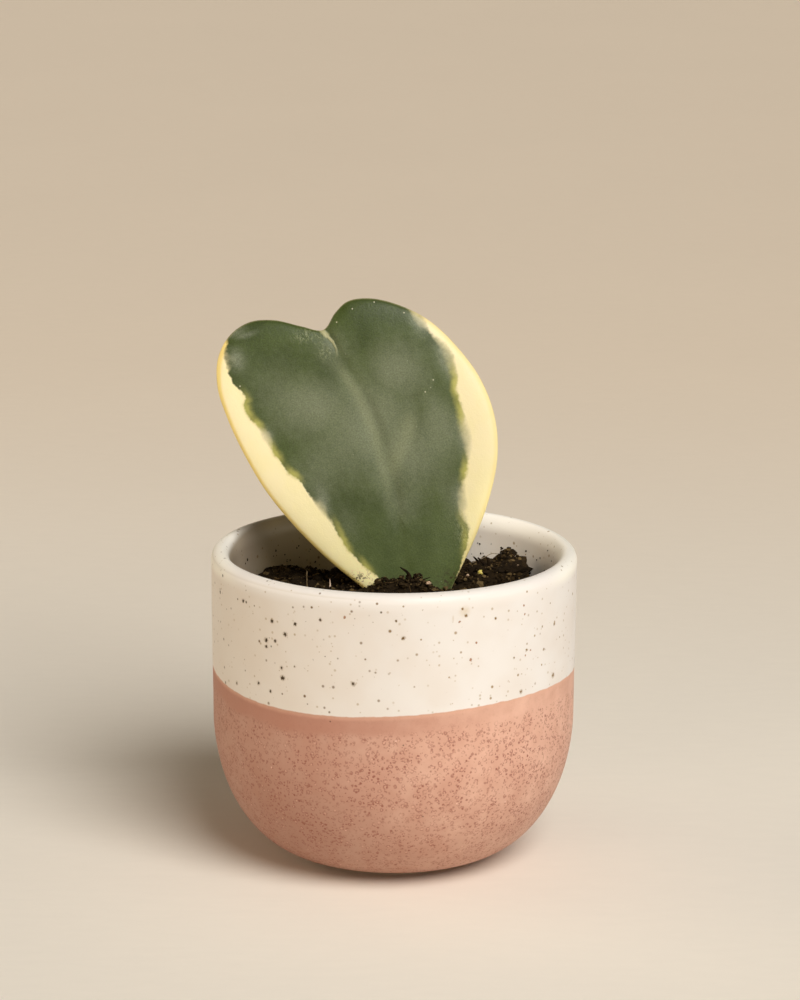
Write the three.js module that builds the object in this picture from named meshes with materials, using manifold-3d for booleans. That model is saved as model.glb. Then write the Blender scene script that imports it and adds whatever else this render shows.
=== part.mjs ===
// Potted hoya: one thick heart-shaped leaf, rooted in peat in a small glazed cup.
// Millimetres, +Z up. The origin is the middle of the cup's foot, on the surface that it stands on.

import * as THREE from 'three';
import { mergeVertices } from 'three/addons/utils/BufferGeometryUtils.js';
import Module from 'manifold-3d';

const wasm = await Module();
wasm.setup();

// Cup: a bowl-shaped lower half, a straight upper wall and a round lip
const CUP_RADIUS = 42.5;
const CUP_HEIGHT = 73.2;
const WALL = 4.7;
const BOWL_RADIUS = 42.2;
const BOWL_TOP = 34.5;
const BOWL_FLAT_RADIUS = 19.8;
const FLOOR_THICKNESS = 4.5;
const FOOT_HEIGHT = 1.3;
const FOOT_OUTER_RADIUS = 18.5;
const FOOT_INNER_RADIUS = 15;
const FOOT_SLOPE = 0.4;
const INNER_FLOOR = FOOT_HEIGHT + FLOOR_THICKNESS;
const CUP_SEGMENTS = 72;
const LIP_STEPS = 9;
const OUTER_BOWL_STEPS = 10;
const INNER_BOWL_STEPS = 7;

// Clearance between neighbouring pieces, and round the leaf, whose margin is sharper
const GAP = 0.3;
const LEAF_GAP = 0.4;

// Peat: its mean level, and the places where it is heaped up or sunk
const PEAT_LEVEL = 62.8;
const PEAT_RINGS = 18;
const PEAT_MOUNDS = [
  { name: 'heap before the leaf', x: 2.5, y: -4.5, height: 3.6, spanX: 8, spanY: 3.6, power: 4 },
  { name: 'clod at the right', x: 23.5, y: 11, height: 4.2, spanX: 9, spanY: 10, power: 4 },
  { name: 'crest of the clod', x: 27, y: 14.5, height: 2.4, spanX: 3.4, spanY: 4, power: 2 },
  { name: 'dip at the back', x: -4, y: 38, height: -6, spanX: 20, spanY: 13, power: 2 },
  { name: 'dip behind the clod', x: 34, y: 24, height: -2.5, spanX: 8, spanY: 12, power: 2 },
];
const CRUMB_COUNT = 150;
const CRUMB_RADII = [1.3, 3.1];
const CRUMB_RISE = 0.5;
const CRUMB_SEED = 2026;

// Leaf, measured in its own plane: x across the blade, y along it from the foot of the stalk
const LEAF_FOOT = [7.8, -2.2, 51.5];
const LEAF_LEAN_LEFT = THREE.MathUtils.degToRad(17.4);
const LEAF_LEAN_BACK = THREE.MathUtils.degToRad(12);
const BLADE_THICKNESS = 3;
const BLADE_MIDDLE = [0, 45];
const BLADE_CROWN = 0.0018;
const BLADE_TIP_CURL = 0.0035;
const BLADE_TIP_FROM = 58;
const BLADE_COLUMNS = 64;
const BLADE_ROWS = 14;
const MARGIN_SQUARENESS = 12;
const HEART = [
  [-1.8, 76.2], [-6.6, 78.6], [-12, 81.7], [-17.6, 83], [-22.8, 81.5], [-27, 77.4], [-29.2, 71],
  [-29.2, 63.5], [-28, 54.5], [-25.6, 44.4], [-21.4, 34], [-16.3, 24.5], [-11.3, 17], [-7.2, 10.6],
  [-4, 5.2], [-2, 1.2], [0, 0], [2.2, 1], [4.4, 4.2], [7.8, 8.6], [12.3, 13.6], [18, 20],
  [23.8, 27.8], [28.2, 36], [30.3, 44.6], [29.9, 54], [27, 62.8], [22.5, 70.9], [16.9, 76.4],
  [10.8, 80], [5.6, 80.9], [2, 79.2],
];
const STALK_RADIUS = 2.1;
const STALK_TOP = 8;
const STALK_END = -9;
const ROOT_COUNT = 5;
const ROOT_RADIUS = 0.6;
const ROOT_SPREAD = 13;
const ROOT_DROP = 11;
const ROOT_SPACING = 1.3;
const ROOT_PATH = [[0, 0], [0.4, 0.2], [0.8, 0.6], [1, 1]];
const GOLDEN_ANGLE = THREE.MathUtils.degToRad(137.5);

// Small things that lie or stand in the peat, each at its place on the surface
const BEAD_RADIUS = 0.95;
const BEAD_PLACE = [20, 4.5];
const BEAD_SHOWING = 0.3;
const GRAIN_SEED = 31;
const GRAIN_SHAPE = [1.15, 1, 0.8];
const GRAIN_ROUGHNESS = [0.78, 1.18];
const GRAIN_SHOWING = 0.2;
const GRAINS = [
  { radius: 0.95, place: [8, -7.5], colour: 0xc4a184 },
  { radius: 0.7, place: [25.8, 8.5], colour: 0xb18f7c },
  { radius: 0.6, place: [28.6, 6.5], colour: 0xa98574 },
  { radius: 0.65, place: [16.8, 5.5], colour: 0xb9a276 },
];
const SPLINTERS = [
  { name: 'bark_splinter_left', place: [-20.3, 1.2], showing: 4.6, width: 0.9, turn: 0.4, lean: -0.04 },
  { name: 'bark_splinter_middle', place: [-14.8, 0.3], showing: 2.5, width: 1.3, turn: 1.2, lean: 0.12 },
];
const SPLINTER_BURIED = 3;
const SPLINTER_TAPER = 0.7;
const SPLINTER_FLATNESS = 0.7;
const FIBRE_RADIUS = 0.32;
const FIBRE_PLACES = [[18.4, 13.2], [20.6, 14], [23, 14.4], [25.4, 13.6]];
const FIBRE_ARCH = 0.5;

// A closed geometry with only its position left and its shared corners joined
function welded(geometry) {
  const bare = geometry.clone();
  bare.deleteAttribute('normal');
  bare.deleteAttribute('uv');
  const joined = mergeVertices(bare, 1e-4);
  const corners = joined.index.array;
  const kept = [];
  for (let i = 0; i < corners.length; i += 3) {
    const [a, b, c] = corners.slice(i, i + 3);
    if (a !== b && b !== c && c !== a) kept.push(a, b, c);
  }
  joined.setIndex(kept);
  return joined;
}

// The geometry pushed out along its corners' normals, for the room that its neighbour leaves it
function grown(geometry, clearance) {
  const bigger = welded(geometry);
  bigger.computeVertexNormals();
  const place = bigger.attributes.position;
  const normal = bigger.attributes.normal;
  for (let i = 0; i < place.count; i += 1) {
    place.setXYZ(
      i,
      place.getX(i) + clearance * normal.getX(i),
      place.getY(i) + clearance * normal.getY(i),
      place.getZ(i) + clearance * normal.getZ(i),
    );
  }
  return bigger;
}

function toSolid(geometry) {
  const closed = welded(geometry);
  return new wasm.Manifold(new wasm.Mesh({
    numProp: 3,
    vertProperties: new Float32Array(closed.attributes.position.array),
    triVerts: new Uint32Array(closed.index.array),
  }));
}

function toGeometry(solid) {
  const mesh = solid.getMesh();
  const geometry = new THREE.BufferGeometry();
  geometry.setAttribute('position', new THREE.BufferAttribute(mesh.vertProperties, 3));
  geometry.setIndex(new THREE.BufferAttribute(mesh.triVerts, 1));
  geometry.computeVertexNormals();
  return geometry;
}

function piece(name, geometry, colour, roughness) {
  const material = new THREE.MeshStandardMaterial({ color: colour, roughness, metalness: 0 });
  const mesh = new THREE.Mesh(geometry, material);
  mesh.name = name;
  return mesh;
}

// Repeatable draws between 0 and 1
function seededDraws(seed) {
  let state = seed;
  return () => {
    state = (state * 16807) % 2147483647;
    return state / 2147483647;
  };
}

// A profile of radius and height, turned about the vertical axis
function turned(profile, segments) {
  return new THREE.LatheGeometry(profile, segments).rotateX(Math.PI / 2);
}

// The quarter ellipse of the bowl, from its flat bottom out to the upper wall
function bowlArc(inset, bottom, steps) {
  const across = BOWL_RADIUS - BOWL_FLAT_RADIUS - inset;
  const down = BOWL_TOP - bottom;
  return new THREE.EllipseCurve(BOWL_FLAT_RADIUS, BOWL_TOP, across, down, -Math.PI / 2, 0).getPoints(steps);
}

function cupGeometry() {
  const lipRadius = WALL / 2;
  const lip = new THREE.EllipseCurve(
    CUP_RADIUS - lipRadius, CUP_HEIGHT - lipRadius, lipRadius, lipRadius, 0, Math.PI,
  ).getPoints(LIP_STEPS);
  return turned([
    new THREE.Vector2(0, FOOT_HEIGHT),
    new THREE.Vector2(FOOT_INNER_RADIUS - FOOT_SLOPE, FOOT_HEIGHT),
    new THREE.Vector2(FOOT_INNER_RADIUS, 0),
    new THREE.Vector2(FOOT_OUTER_RADIUS, 0),
    new THREE.Vector2(FOOT_OUTER_RADIUS + FOOT_SLOPE, FOOT_HEIGHT),
    ...bowlArc(0, FOOT_HEIGHT, OUTER_BOWL_STEPS),
    ...lip,
    ...bowlArc(WALL, INNER_FLOOR, INNER_BOWL_STEPS).reverse(),
    new THREE.Vector2(0, INNER_FLOOR),
  ], CUP_SEGMENTS);
}

// Loose crumbs of peat, scattered over the surface as low domes
const draw = seededDraws(CRUMB_SEED);
const CRUMBS = Array.from({ length: CRUMB_COUNT }, () => {
  const reach = (CUP_RADIUS - WALL) * Math.sqrt(draw());
  const bearing = 2 * Math.PI * draw();
  return {
    x: reach * Math.cos(bearing),
    y: reach * Math.sin(bearing),
    radius: THREE.MathUtils.lerp(...CRUMB_RADII, draw() ** 2),
  };
});

// Height of the peat's surface over a point of the plan
function peatHeight(x, y) {
  let height = PEAT_LEVEL;
  for (const mound of PEAT_MOUNDS) {
    const across = Math.abs((x - mound.x) / mound.spanX) ** mound.power;
    const along = Math.abs((y - mound.y) / mound.spanY) ** mound.power;
    height += mound.height * Math.exp(-across - along);
  }
  let rise = 0;
  for (const crumb of CRUMBS) {
    const inside = crumb.radius ** 2 - (x - crumb.x) ** 2 - (y - crumb.y) ** 2;
    if (inside > 0) rise = Math.max(rise, CRUMB_RISE * Math.sqrt(inside));
  }
  return height + rise;
}

// Peat that fills the cup: its underside follows the cup's inside, its top is raised by formula
function peatGeometry() {
  const wallRadius = CUP_RADIUS - WALL - GAP;
  const top = [];
  for (let ring = PEAT_RINGS; ring >= 0; ring -= 1) {
    top.push(new THREE.Vector2(wallRadius * ring / PEAT_RINGS, PEAT_LEVEL));
  }
  const geometry = welded(turned([
    new THREE.Vector2(0, INNER_FLOOR + GAP),
    ...bowlArc(WALL + GAP, INNER_FLOOR + GAP, INNER_BOWL_STEPS),
    ...top,
  ], CUP_SEGMENTS));
  const place = geometry.attributes.position;
  for (let i = 0; i < place.count; i += 1) {
    if (place.getZ(i) > PEAT_LEVEL - 1) {
      place.setZ(i, peatHeight(place.getX(i), place.getY(i)));
    }
  }
  return geometry;
}

// Blade: a globe flattened to the heart's outline, so that its margin is round on both faces
function bladeGeometry() {
  const outline = new THREE.CatmullRomCurve3(
    HEART.map(([x, y]) => new THREE.Vector3(x, y, 0)), true, 'centripetal',
  ).getSpacedPoints(BLADE_COLUMNS);
  outline.pop();
  const geometry = new THREE.SphereGeometry(1, BLADE_COLUMNS, BLADE_ROWS).rotateX(Math.PI / 2);
  const place = geometry.attributes.position;
  for (let i = 0; i < place.count; i += 1) {
    const ball = new THREE.Vector3().fromBufferAttribute(place, i);
    const reach = Math.min(1, Math.hypot(ball.x, ball.y));
    const share = (Math.atan2(ball.y, ball.x) / (2 * Math.PI) + 1) % 1;
    const margin = outline[Math.round(share * BLADE_COLUMNS) % BLADE_COLUMNS];
    const x = THREE.MathUtils.lerp(BLADE_MIDDLE[0], margin.x, reach);
    const y = THREE.MathUtils.lerp(BLADE_MIDDLE[1], margin.y, reach);
    const half = (BLADE_THICKNESS / 2) * Math.sqrt(1 - reach ** MARGIN_SQUARENESS);
    place.setXYZ(i, x, y, bladeBend(x, y) + Math.sign(ball.z) * half);
  }
  return geometry;
}

// How far the blade's middle surface stands off its plane: crowned across, its tip curled back
function bladeBend(x, y) {
  return -BLADE_CROWN * x ** 2 - BLADE_TIP_CURL * Math.max(0, y - BLADE_TIP_FROM) ** 2;
}

// A round bar of a few sides along a curve
function bar(points, radius, sides, steps) {
  const section = new THREE.Shape(
    new THREE.EllipseCurve(0, 0, radius, radius).getPoints(sides).slice(0, sides),
  );
  return new THREE.ExtrudeGeometry(section, {
    steps,
    bevelEnabled: false,
    extrudePath: new THREE.CatmullRomCurve3(points),
  });
}

function stalkGeometry() {
  return bar([new THREE.Vector3(0, STALK_END, 0), new THREE.Vector3(0, STALK_TOP, 0)], STALK_RADIUS, 12, 2);
}

// Roots spread from the end of the stalk, each higher up and a golden angle on from the last
function rootGeometry(index) {
  const bearing = index * GOLDEN_ANGLE;
  const start = STALK_END + 1 + ROOT_SPACING * index;
  return bar(ROOT_PATH.map(([out, down]) => new THREE.Vector3(
    out * ROOT_SPREAD * Math.cos(bearing),
    start - down * ROOT_DROP,
    out * ROOT_SPREAD * Math.sin(bearing),
  )), ROOT_RADIUS, 6, 6);
}

function leafSolid(clearance) {
  const roots = Array.from({ length: ROOT_COUNT }, (_, index) => rootGeometry(index));
  return [bladeGeometry(), stalkGeometry(), ...roots]
    .map((geometry) => toSolid(grown(geometry, clearance)))
    .reduce((whole, part) => whole.add(part));
}

// The leaf's place: turned upright, then leaning to the left and back
const leafFrame = new THREE.Object3D();
leafFrame.position.set(...LEAF_FOOT);
leafFrame.rotation.set(Math.PI / 2 - LEAF_LEAN_BACK, 0, LEAF_LEAN_LEFT);
leafFrame.updateMatrix();

// A point on the peat's surface, lifted by some of the thing that lies there
function onPeat([x, y], lift) {
  return new THREE.Vector3(x, y, peatHeight(x, y) + lift);
}

function beadGeometry() {
  return new THREE.SphereGeometry(BEAD_RADIUS, 12, 8).rotateX(Math.PI / 2);
}

// A rough grain: an icosahedron with its corners drawn in and out
function grainGeometry(radius, seed) {
  const geometry = welded(new THREE.IcosahedronGeometry(radius, 1));
  const pull = seededDraws(seed);
  const place = geometry.attributes.position;
  for (let i = 0; i < place.count; i += 1) {
    const stretch = THREE.MathUtils.lerp(...GRAIN_ROUGHNESS, pull());
    place.setXYZ(i, stretch * place.getX(i), stretch * place.getY(i), stretch * place.getZ(i));
  }
  return geometry.scale(...GRAIN_SHAPE);
}

// A splinter: a flat sliver that narrows upwards
function splinterGeometry({ showing, width }) {
  const length = showing + SPLINTER_BURIED;
  return new THREE.CylinderGeometry(SPLINTER_TAPER * width / 2, width / 2, length, 6, 2)
    .scale(1, 1, SPLINTER_FLATNESS)
    .rotateX(Math.PI / 2)
    .translate(0, 0, length / 2 - SPLINTER_BURIED);
}

function fibreGeometry() {
  const last = FIBRE_PLACES.length - 1;
  const points = FIBRE_PLACES.map((place, index) => (
    onPeat(place, index === 0 || index === last ? -FIBRE_RADIUS : FIBRE_ARCH)
  ));
  return bar(points, FIBRE_RADIUS, 6, 10);
}

// The pieces
const cup = piece('pot', cupGeometry(), 0xebe3d3, 0.35);

const leaf = piece('leaf', toGeometry(leafSolid(0)), 0x5d6b4c, 0.45);
leaf.position.copy(leafFrame.position);
leaf.rotation.copy(leafFrame.rotation);

const bead = piece('fertiliser_bead', beadGeometry(), 0xc9bd6a, 0.4);
bead.position.copy(onPeat(BEAD_PLACE, BEAD_SHOWING * BEAD_RADIUS));

const grains = GRAINS.map(({ radius, place, colour }, index) => {
  const grain = piece(`grit_grain_${index + 1}`, grainGeometry(radius, GRAIN_SEED + index), colour, 0.9);
  grain.position.copy(onPeat(place, GRAIN_SHOWING * radius));
  return grain;
});

const splinters = SPLINTERS.map((splinter) => {
  const mesh = piece(splinter.name, splinterGeometry(splinter), 0xc09a80, 0.8);
  mesh.position.copy(onPeat(splinter.place, 0));
  mesh.rotation.set(0, splinter.lean, splinter.turn);
  return mesh;
});

const fibre = piece('root_fibre', fibreGeometry(), 0x5a4632, 0.9);

// Peat with the room for everything that stands or lies in it
const leafRoom = leafSolid(LEAF_GAP).transform(leafFrame.matrix.elements);
const peatSolid = [bead, ...grains, ...splinters, fibre].reduce((whole, thing) => {
  thing.updateMatrix();
  return whole.subtract(toSolid(grown(thing.geometry, GAP).applyMatrix4(thing.matrix)));
}, toSolid(peatGeometry()).subtract(leafRoom));
const peat = piece('soil', toGeometry(peatSolid), 0x2e2418, 1);

const plant = new THREE.Group();
const filling = new THREE.Group();
filling.add(peat, bead, ...grains, ...splinters, fibre);
plant.add(cup, filling, leaf);

export default plant;
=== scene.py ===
import functools
import math
import random

import bmesh
import bpy
from mathutils import Matrix, Vector, geometry, noise


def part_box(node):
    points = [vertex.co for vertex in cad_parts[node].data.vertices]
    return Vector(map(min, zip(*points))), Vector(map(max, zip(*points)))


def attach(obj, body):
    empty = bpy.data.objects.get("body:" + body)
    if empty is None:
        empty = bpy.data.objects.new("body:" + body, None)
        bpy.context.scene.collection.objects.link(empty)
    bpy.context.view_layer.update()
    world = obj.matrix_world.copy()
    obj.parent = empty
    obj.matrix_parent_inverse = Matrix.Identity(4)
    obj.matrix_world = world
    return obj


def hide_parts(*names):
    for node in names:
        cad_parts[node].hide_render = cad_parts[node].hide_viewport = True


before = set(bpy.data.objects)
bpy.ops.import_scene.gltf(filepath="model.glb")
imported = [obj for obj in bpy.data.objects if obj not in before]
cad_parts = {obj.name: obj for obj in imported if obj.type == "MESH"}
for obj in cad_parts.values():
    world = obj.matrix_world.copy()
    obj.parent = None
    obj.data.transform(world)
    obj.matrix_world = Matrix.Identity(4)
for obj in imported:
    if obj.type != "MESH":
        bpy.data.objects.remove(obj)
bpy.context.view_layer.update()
scene = bpy.context.scene

# Pieces are shaped in millimetres and brought to metres when they are finished
MM = 0.001


def node_box(node):
    low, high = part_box(node)
    return low / MM, high / MM


# Cup: its section, the line where the two glazes meet, and how far the upper glaze stands proud
CUP_RADIUS = node_box("pot")[1].x
CUP_HEIGHT = node_box("pot")[1].z
WALL = 4.7
CUP_INNER_RADIUS = CUP_RADIUS - WALL
BOWL_RADIUS = CUP_RADIUS - 0.3
BOWL_TOP = 34.5
BOWL_FLAT_RADIUS = 19.8
FOOT_HEIGHT = 1.3
FOOT_INNER_RADIUS = 15
FOOT_OUTER_RADIUS = 18.5
FOOT_EDGE = 0.5
INNER_FLOOR = 5.8
LIP_RADIUS = WALL / 2
LIP_LEVEL = CUP_HEIGHT - LIP_RADIUS
LIP_DROP_INSIDE = 4.4
CUP_SEGMENTS = 256
DIP_LEVEL = 46.13
DIP_ROWS_WITHIN = 1.5
GLAZE_STEP = 0.06
HAND_WAVE = 0.1

# Peat: the same level and mounds as its solid, and the crumbs that make its surface
PEAT_LEVEL = 62.8
PEAT_RADIUS = CUP_INNER_RADIUS - 0.05
PEAT_RINGS = 96
PEAT_SEGMENTS = 192
PEAT_MOUNDS = [
    # x, y, height, span across, span along, power
    (2.5, -4.5, 3.6, 8, 3.6, 4),
    (23.5, 11, 4.2, 9, 10, 4),
    (27, 14.5, 2.4, 3.4, 4, 2),
    (-4, 38, -6, 20, 13, 2),
    (34, 24, -2.5, 8, 12, 2),
]
# Where the loose top has settled a little below its solid, and where crumbs are piled on it
PEAT_SETTLED = [
    (-28, 19, -0.2, 17, 15, 2), (-35, -3, -3, 9, 15, 2), (-37, 14, -4, 5, 9, 2),
    (-18.5, 23, -1.8, 3.8, 14, 2), (17.5, 19, -2, 6, 7, 2), (21.5, 14, -1.1, 3.4, 6, 2),
    (34.5, 8, -2, 4.5, 9, 2),
]
PEAT_PILES = [
    # x, y, height, spread
    (-3.9, -5, 1.9, 0.9), (-2.4, -5, 1.5, 0.8), (0, -5, 0.7, 1), (1.7, -5, 1.5, 0.9), (3.3, -5, 1.5, 0.6),
    (4.9, -5, 2, 0.8), (5.9, -5, 2, 0.8), (8, -6, 1.2, 0.7), (25.5, 12, 2.5, 0.8), (26.8, 11.8, 2.3, 0.8),
    (20.4, 8.4, 0.6, 0.8), (15.6, 5.2, 1.1, 0.7), (17.5, 5.5, 0.4, 0.9), (29.6, 9.6, 0.6, 0.9),
]
LUMP_COUNT = 150
LUMP_RADII = (1.3, 3.1)
LUMP_RISE = 0.5
LUMP_SEED = 2026
# The bed's own texture: how far its lumps and clods span, and how high or deep they go
BED_LUMP_SPAN, BED_LUMP_RISE = 2.6, 0.55
BED_CLOD_SPAN, BED_CLOD_DEPTH = 2.2, 1.1
BED_LIFT = 0.2
# Crumbs strewn on the bed: the smallest and largest radius, and how many
LOOSE_CRUMBS = (0.5, 1.05, 620)
FINE_CRUMBS = (0.16, 0.5, 8500)
CRUMBS_IN_PILE = 26
CRUMBS_ON_WALL = 70
CRUMB_SHAPES = 8
LARGE_CRUMB = 0.6
FIBRE_COUNT = 170

# Leaf: its place and lean, its thickness, and its outline in its own plane from the notch round
LEAF_FOOT = Vector((7.8, -2.2, 51.44))
LEAF_LEAN_LEFT = math.radians(17.4)
LEAF_LEAN_BACK = math.radians(12)
BLADE_THICKNESS = 3
BLADE_MIDDLE = Vector((0, 45))
BLADE_CROWN = 0.0004
BLADE_TIP_CURL = 0.0035
BLADE_TIP_FROM = 58
MARGIN_SQUARENESS = 12
BLADE_COLUMNS = 288
BLADE_ROWS = 84
HEART = [
    (-1.8, 76.2), (-6.6, 78.6), (-12, 81.7), (-17.6, 83), (-22.8, 81.5), (-27, 77.4), (-29.2, 71),
    (-29.2, 63.5), (-28, 54.5), (-25.6, 44.4), (-21.4, 34), (-16.3, 24.5), (-11.3, 17), (-7.2, 10.6),
    (-4, 5.2), (-2, 1.2), (0, 0), (2.2, 1), (4.4, 4.2), (7.8, 8.6), (12.3, 13.6), (18, 20),
    (23.8, 27.8), (28.2, 36), (30.3, 44.6), (29.9, 54), (27, 62.8), (22.5, 70.9), (16.9, 76.4),
    (10.8, 80), (5.6, 80.9), (2, 79.2),
]
# Where the green of the blade ends and the cream margin begins, down the left and up the right
GREEN_EDGE = [
    (-24, 86), (-24.1, 80.2), (-25.3, 77.9), (-25.8, 73.2), (-25.6, 71.2), (-24.3, 67.9), (-23.6, 66.2),
    (-24.7, 65.1), (-24, 61.7), (-22.5, 58.8), (-21.5, 55.6), (-21.4, 52.9), (-20.2, 49.8), (-19.2, 46.8),
    (-17.3, 44.1), (-15.9, 39.3), (-13.2, 33.1), (-12, 28.1), (-10.1, 23.4), (-8.2, 20.1), (-6.5, 17.6),
    (-4, 12), (-2, -2), (4, -2), (8, 6), (12.1, 14.1), (15.2, 18.5), (17.1, 22.6), (16.3, 26.2),
    (17.6, 30), (19.7, 34.1), (21.2, 37.3), (22.4, 41.8), (22.7, 45.6), (23.6, 50.5), (23.3, 53.7),
    (24.3, 56), (24.9, 61.9), (24, 64.6), (21.8, 67.3), (21.6, 69.5), (20.7, 71.8), (18.9, 74.8),
    (17, 77.6), (16.4, 86),
]
MIDRIB = [
    (-1.7, 76.4), (-0.6, 73.4), (0, 70.4), (1, 66.2), (2.7, 60.8), (3.5, 54.6), (3.8, 49),
    (3.7, 44), (3.4, 38.2), (2.3, 31), (0.8, 20), (0, 0),
]
SIDE_VEIN = [(14.1, 52.9), (12.5, 48.8), (10.5, 45.3), (8.3, 42.7), (5.6, 39.7), (3.6, 35.6), (2.8, 30)]
# The healed cut in the notch, and grains of dust that lie on the blade
CRACK = [(-2.2, 76.3), (-1.4, 74.7), (-0.5, 72.9), (-0.2, 71.1), (-0.5, 69.5)]
DUST = [(-24.1, 69.4), (1.7, 77), (6.1, 78.9), (11.4, 78.9), (17.3, 74.5), (19.2, 57.6), (16.6, 55.5)]
STALK_RADIUS = 2.1
STALK_TOP = 8
STALK_END = -9
ROOT_COUNT = 5
ROOT_RADIUS = 0.6
ROOT_SPREAD = 13
ROOT_DROP = 11
ROOT_SPACING = 1.3
ROOT_PATH = [(0, 0), (0.4, 0.2), (0.8, 0.6), (1, 1)]
GOLDEN_ANGLE = math.radians(137.5)

# Crumbs that stick to the inner wall, each a bearing and a height, and bits of twig in the peat
STUCK_CRUMBS = [
    (138.3, 65.8), (137.8, 64.5), (133.8, 64.2), (128.1, 65.3), (127.2, 65.7), (122.7, 63.9), (122.2, 64.4),
    (131.2, 62.6), (132.7, 62.4), (120.2, 61), (158.2, 65.5), (156.5, 66.2), (58, 66.1), (57.1, 65.9),
    (52.1, 66.4), (34, 67), (17.4, 69.7), (26.8, 65.9), (56.7, 63.6), (24.2, 66.8), (12.5, 68), (20.3, 64.3),
]
TWIGS = [
    [((3.9, -5, 66.6), 0.5), ((3.7, -5, 67.7), 0.44), ((3, -5, 68.8), 0.32), ((2, -5, 69.4), 0.24),
     ((1.4, -5, 69.9), 0.1)],
    [((21, 8, 66.4), 0.5), ((19.9, 8, 67.6), 0.4), ((18.6, 8, 69), 0.16)],
    [((21.6, 8, 66.4), 0.5), ((20.8, 8, 67.6), 0.38), ((19.6, 8, 68.8), 0.16)],
    [((22.2, 8.2, 66.6), 0.5), ((22.3, 8.2, 68), 0.4), ((21.6, 8.2, 68.9), 0.2)],
    [((6, -5, 66.6), 0.2), ((8.4, -5, 67.5), 0.06)],
    [((-24, 8, 62.4), 0.3), ((-20, 9, 64.4), 0.25), ((-17, 8, 63.8), 0.2)],
]

# Bead and grit are smaller than their solids, and moved to where the photograph has them
BEAD_RADIUS = 0.37
BEAD_SHIFT = (0.2, 0, -1)
GRIT_SIZE = 0.62
GRIT_SHIFTS = [(0, 0, 2)] + [(0.4, -0.9, -0.3)] * 3
GRIT_FACETS = 7
GRIT_FACET_REACH = 0.82
GRIT_FACET_DEPTH = 0.85

# Colours of the lamps, and the small ones that open up the shade inside the cup
WHITE = (1, 0.985, 0.955)
WARM = (1, 0.85, 0.64)
INNER_COLOUR = (1, 0.9, 0.74)
INNER_POWER = 15
INNER_SOFTNESS = 0.004
INNER_DISTANCE = 1.2


def placed(name, data):
    made = bpy.data.objects.new(name, data)
    scene.collection.objects.link(made)
    return made


def aimed(bearing, elevation):
    """The turn of a camera or a lamp that looks in from this bearing and elevation, in degrees."""
    swing = Matrix.Rotation(math.radians(bearing), 4, "Z")
    return swing @ Matrix.Rotation(math.radians(90 - elevation), 4, "X")


def polar(reach, turn):
    return reach * math.cos(turn), reach * math.sin(turn)


# Camera, at the photograph's angle
camera_data = bpy.data.cameras.new("camera")
camera_data.sensor_fit = "VERTICAL"
camera_data.sensor_height = 36
camera_data.lens = 155.01
camera = placed("camera", camera_data)
camera_place = Matrix.Translation((0, -0.9669, 0.3259)) @ aimed(-0.077, 14.012)
camera.matrix_world = camera_place @ Matrix.Rotation(math.radians(0.286), 4, "Z")
scene.camera = camera
scene.view_settings.view_transform = "Standard"


# Finishes

def paint(red, green, blue):
    """A colour as the eye reads it, 0 to 255, turned into the linear one that a shader takes."""
    def linear(value):
        share = value / 255
        return share / 12.92 if share <= 0.04045 else ((share + 0.055) / 1.055) ** 2.4
    return linear(red), linear(green), linear(blue), 1


def operator(operation, turned=False):
    """A method of Layer that adds a Math node. Turned round, its own value comes last."""
    def method(self, *others):
        values = (*others, self) if turned else (self, *others)
        return self.finish.node("ShaderNodeMath", {"operation": operation}, dict(enumerate(values)))
    return method


class Layer:
    """One socket of a finish. Python's operators on it add Math nodes."""

    __add__ = __radd__ = operator("ADD")
    __sub__ = operator("SUBTRACT")
    __rsub__ = operator("SUBTRACT", turned=True)
    __mul__ = operator("MULTIPLY")
    __truediv__ = operator("DIVIDE")
    __rtruediv__ = operator("DIVIDE", turned=True)
    __pow__ = operator("POWER")
    __abs__ = operator("ABSOLUTE")
    __lt__ = operator("LESS_THAN")
    __gt__ = operator("GREATER_THAN")
    at_least = operator("MAXIMUM")

    def __init__(self, finish, socket):
        self.finish = finish
        self.socket = socket

    def rise(self, low, high):
        """From 0 at low to 1 at high, with soft ends. With low above high it falls instead."""
        values = {"Value": self, "From Min": low, "From Max": high}
        return self.finish.node("ShaderNodeMapRange", {"interpolation_type": "SMOOTHSTEP"}, values)


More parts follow.
